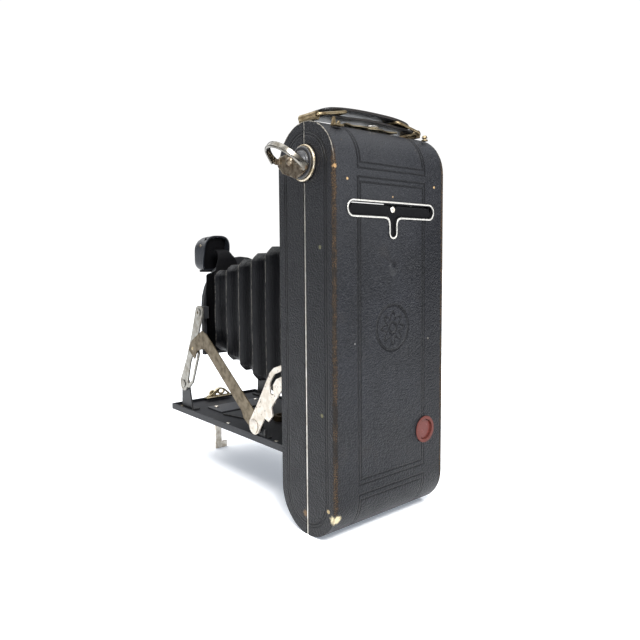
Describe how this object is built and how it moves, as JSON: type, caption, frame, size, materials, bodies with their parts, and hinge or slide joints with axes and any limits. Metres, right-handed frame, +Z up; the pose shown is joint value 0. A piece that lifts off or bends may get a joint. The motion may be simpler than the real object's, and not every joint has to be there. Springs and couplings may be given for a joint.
{
  "type": "folding camera",
  "caption": "Vertical roll-film folding camera standing open: drop bed, self-erecting lens standard, pleated bellows, winding key and carrying strap.",
  "frame": {"origin": "centre of the box that the open camera fills, on the surface that it stands on", "axes": "+Z up, +Y out of the flat back, so the lens looks along -Y; +X on the winding key's side"},
  "size_m": [0.1032, 0.182, 0.2192],
  "materials": {
    "leatherette": "black grained leatherette glued over sheet metal",
    "black_enamel": "semi-gloss black enamel",
    "nickel": "worn nickel plate with freckled tarnish",
    "bronze": "nickel worn through to brown bronze",
    "brass": "dull brass",
    "wood": "stained turned wood",
    "bellows_leather": "thin black pleated leather",
    "strap_leather": "worn black leather",
    "red_window": "red celluloid",
    "clear_glass": "polished glass"
  },
  "bodies": {
    "root": {"body_shell": "leatherette", "film_gate": "black_enamel", "spool_pin_upper": "nickel", "spool_pin_lower_right": "nickel", "spool_pin_lower_left": "nickel", "key_base_ring": "nickel", "bed_hinge_pin": "nickel", "bellows": "bellows_leather", "strap_lug_right": "bronze", "strap_lug_left": "bronze"},
    "back": {"back_cover": "leatherette", "seam_trim": "nickel", "slot_trim": "nickel", "slot_door_pin": "nickel", "window_ring": "black_enamel", "red_window": "red_window", "latch_claw": "bronze", "latch_knob": "bronze"},
    "slot_door": {"slot_door": "black_enamel", "slot_eyelet": "nickel"},
    "roller_upper": {"film_roller_upper": "nickel"},
    "roller_lower": {"film_roller_lower": "nickel"},
    "supply": {"supply_spool": "wood"},
    "winding_key": {"key_hub": "black_enamel", "key_plate": "nickel", "key_rivet": "nickel", "takeup_spool": "wood"},
    "key_bail": {"key_bail": "nickel"},
    "bed": {"bed": "leatherette", "bed_track": "black_enamel", "bed_cross_plate": "black_enamel", "tripod_bush": "brass", "side_lug_right": "black_enamel", "side_lug_left": "black_enamel", "front_bracket_right": "black_enamel", "front_bracket_left": "black_enamel", "foot_pin": "nickel"},
    "bed_catch": {"bed_catch": "nickel"},
    "foot": {"bed_foot": "nickel"},
    "arms": {"front_arm_right": "nickel", "front_arm_left": "nickel"},
    "struts": {"strut_right": "bronze", "strut_left": "bronze"},
    "braces": {"brace_right": "nickel", "brace_left": "nickel"},
    "standard": {"lens_board": "black_enamel", "shutter_housing": "black_enamel", "lens_barrel": "black_enamel", "lens_glass": "clear_glass", "finder_bracket": "black_enamel"},
    "speed_dial": {"speed_dial": "nickel"},
    "aperture_lever": {"aperture_lever": "nickel"},
    "shutter_release": {"shutter_release": "nickel"},
    "finder": {"finder_body": "black_enamel", "finder_glass": "clear_glass"},
    "strap": {"carry_strap": "strap_leather"},
    "loop_right": {"strap_loop_right": "bronze"},
    "loop_left": {"strap_loop_left": "bronze"},
    "latch": {"latch_plate": "nickel", "latch_button": "nickel"}
  },
  "joints": [
    {"name": "bed_hinge", "type": "hinge", "parent": "root", "child": "bed", "pos_m": [-0.01106, 0.05145, 0.0399], "axis": [-1, 0, 0], "range_deg": [0, 90], "deforming": ["bellows"]},
    {"name": "front_arms_fold", "type": "hinge", "parent": "bed", "child": "arms", "pos_m": [-0.01106, -0.07585, 0.0564], "axis": [-1, 0, 0], "range_deg": [0, 59]},
    {"name": "standard_stays_upright", "type": "hinge", "parent": "arms", "child": "standard", "pos_m": [-0.01106, -0.05225, 0.1077], "axis": [-1, 0, 0], "range_deg": [-149, 0]},
    {"name": "struts_fold", "type": "hinge", "parent": "bed", "child": "struts", "pos_m": [-0.01106, 0.01575, 0.0456], "axis": [-1, 0, 0], "range_deg": [-20, 0]},
    {"name": "braces_fold", "type": "hinge", "parent": "bed", "child": "braces", "pos_m": [-0.01106, 0.01575, 0.0456], "axis": [-1, 0, 0], "range_deg": [-136, 0]},
    {"name": "foot_fold", "type": "hinge", "parent": "bed", "child": "foot", "pos_m": [-0.01106, -0.08815, 0.034], "axis": [1, 0, 0], "range_deg": [0, 90]},
    {"name": "bed_catch_flex", "type": "hinge", "parent": "bed", "child": "bed_catch", "pos_m": [-0.01106, -0.08255, 0.0384], "axis": [-1, 0, 0], "range_deg": [0, 6], "stiffness_Nm_per_rad": 0.02},
    {"name": "back_slide_off", "type": "slide", "parent": "root", "child": "back", "axis": [0, 1, 0], "range_m": [0, 0.05]},
    {"name": "slot_door_hinge", "type": "hinge", "parent": "back", "child": "slot_door", "pos_m": [-0.01106, 0.0896, 0.1688], "axis": [1, 0, 0], "range_deg": [0, 95]},
    {"name": "key_turn", "type": "hinge", "parent": "root", "child": "winding_key", "pos_m": [-0.01106, 0.06895, 0.1896], "axis": [1, 0, 0], "continuous": true},
    {"name": "key_bail_fold", "type": "hinge", "parent": "winding_key", "child": "key_bail", "pos_m": [0.03954, 0.06965, 0.1881], "axis": [0, 0.9737, -0.228], "range_deg": [-50, 126]},
    {"name": "supply_spool_turn", "type": "hinge", "parent": "root", "child": "supply", "pos_m": [-0.01106, 0.06895, 0.0214], "axis": [1, 0, 0], "continuous": true},
    {"name": "roller_upper_turn", "type": "hinge", "parent": "root", "child": "roller_upper", "pos_m": [-0.01106, 0.08105, 0.1684], "axis": [1, 0, 0], "continuous": true},
    {"name": "roller_lower_turn", "type": "hinge", "parent": "root", "child": "roller_lower", "pos_m": [-0.01106, 0.08105, 0.0414], "axis": [1, 0, 0], "continuous": true},
    {"name": "finder_swivel", "type": "hinge", "parent": "standard", "child": "finder", "pos_m": [0.00264, -0.06755, 0.1469], "axis": [0, 1, 0], "range_deg": [0, 90]},
    {"name": "speed_dial_turn", "type": "hinge", "parent": "standard", "child": "speed_dial", "pos_m": [-0.01106, -0.06455, 0.1234], "axis": [0, 1, 0], "range_deg": [-60, 60]},
    {"name": "aperture_turn", "type": "hinge", "parent": "standard", "child": "aperture_lever", "pos_m": [-0.01106, -0.06455, 0.1059], "axis": [0, 1, 0], "range_deg": [-30, 30]},
    {"name": "shutter_release_press", "type": "hinge", "parent": "standard", "child": "shutter_release", "pos_m": [-0.03066, -0.06155, 0.1221], "axis": [0, -1, 0], "range_deg": [0, 12], "stiffness_Nm_per_rad": 0.005},
    {"name": "strap_lift", "type": "slide", "parent": "root", "child": "strap", "axis": [0, 0, 1], "range_m": [0, 0.004]},
    {"name": "loop_right_tilt", "type": "hinge", "parent": "root", "child": "loop_right", "pos_m": [0.02634, 0.06895, 0.2125], "axis": [0, 1, 0], "range_deg": [0, 13]},
    {"name": "loop_left_tilt", "type": "hinge", "parent": "root", "child": "loop_left", "pos_m": [-0.04846, 0.06895, 0.2125], "axis": [0, -1, 0], "range_deg": [0, 13]},
    {"name": "latch_slide", "type": "slide", "parent": "root", "child": "latch", "axis": [1, 0, 0], "range_m": [0, 0.003]}
  ],
  "couplings": [
    {"joint": "front_arms_fold", "follows": "bed_hinge", "ratio": 0.646},
    {"joint": "standard_stays_upright", "follows": "bed_hinge", "ratio": -1.646},
    {"joint": "struts_fold", "follows": "bed_hinge", "ratio": -0.217},
    {"joint": "braces_fold", "follows": "bed_hinge", "ratio": -1.5},
    {"joint": "loop_right_tilt", "follows": "strap_lift", "rad_per_m": 53},
    {"joint": "loop_left_tilt", "follows": "strap_lift", "rad_per_m": 53}
  ]
}
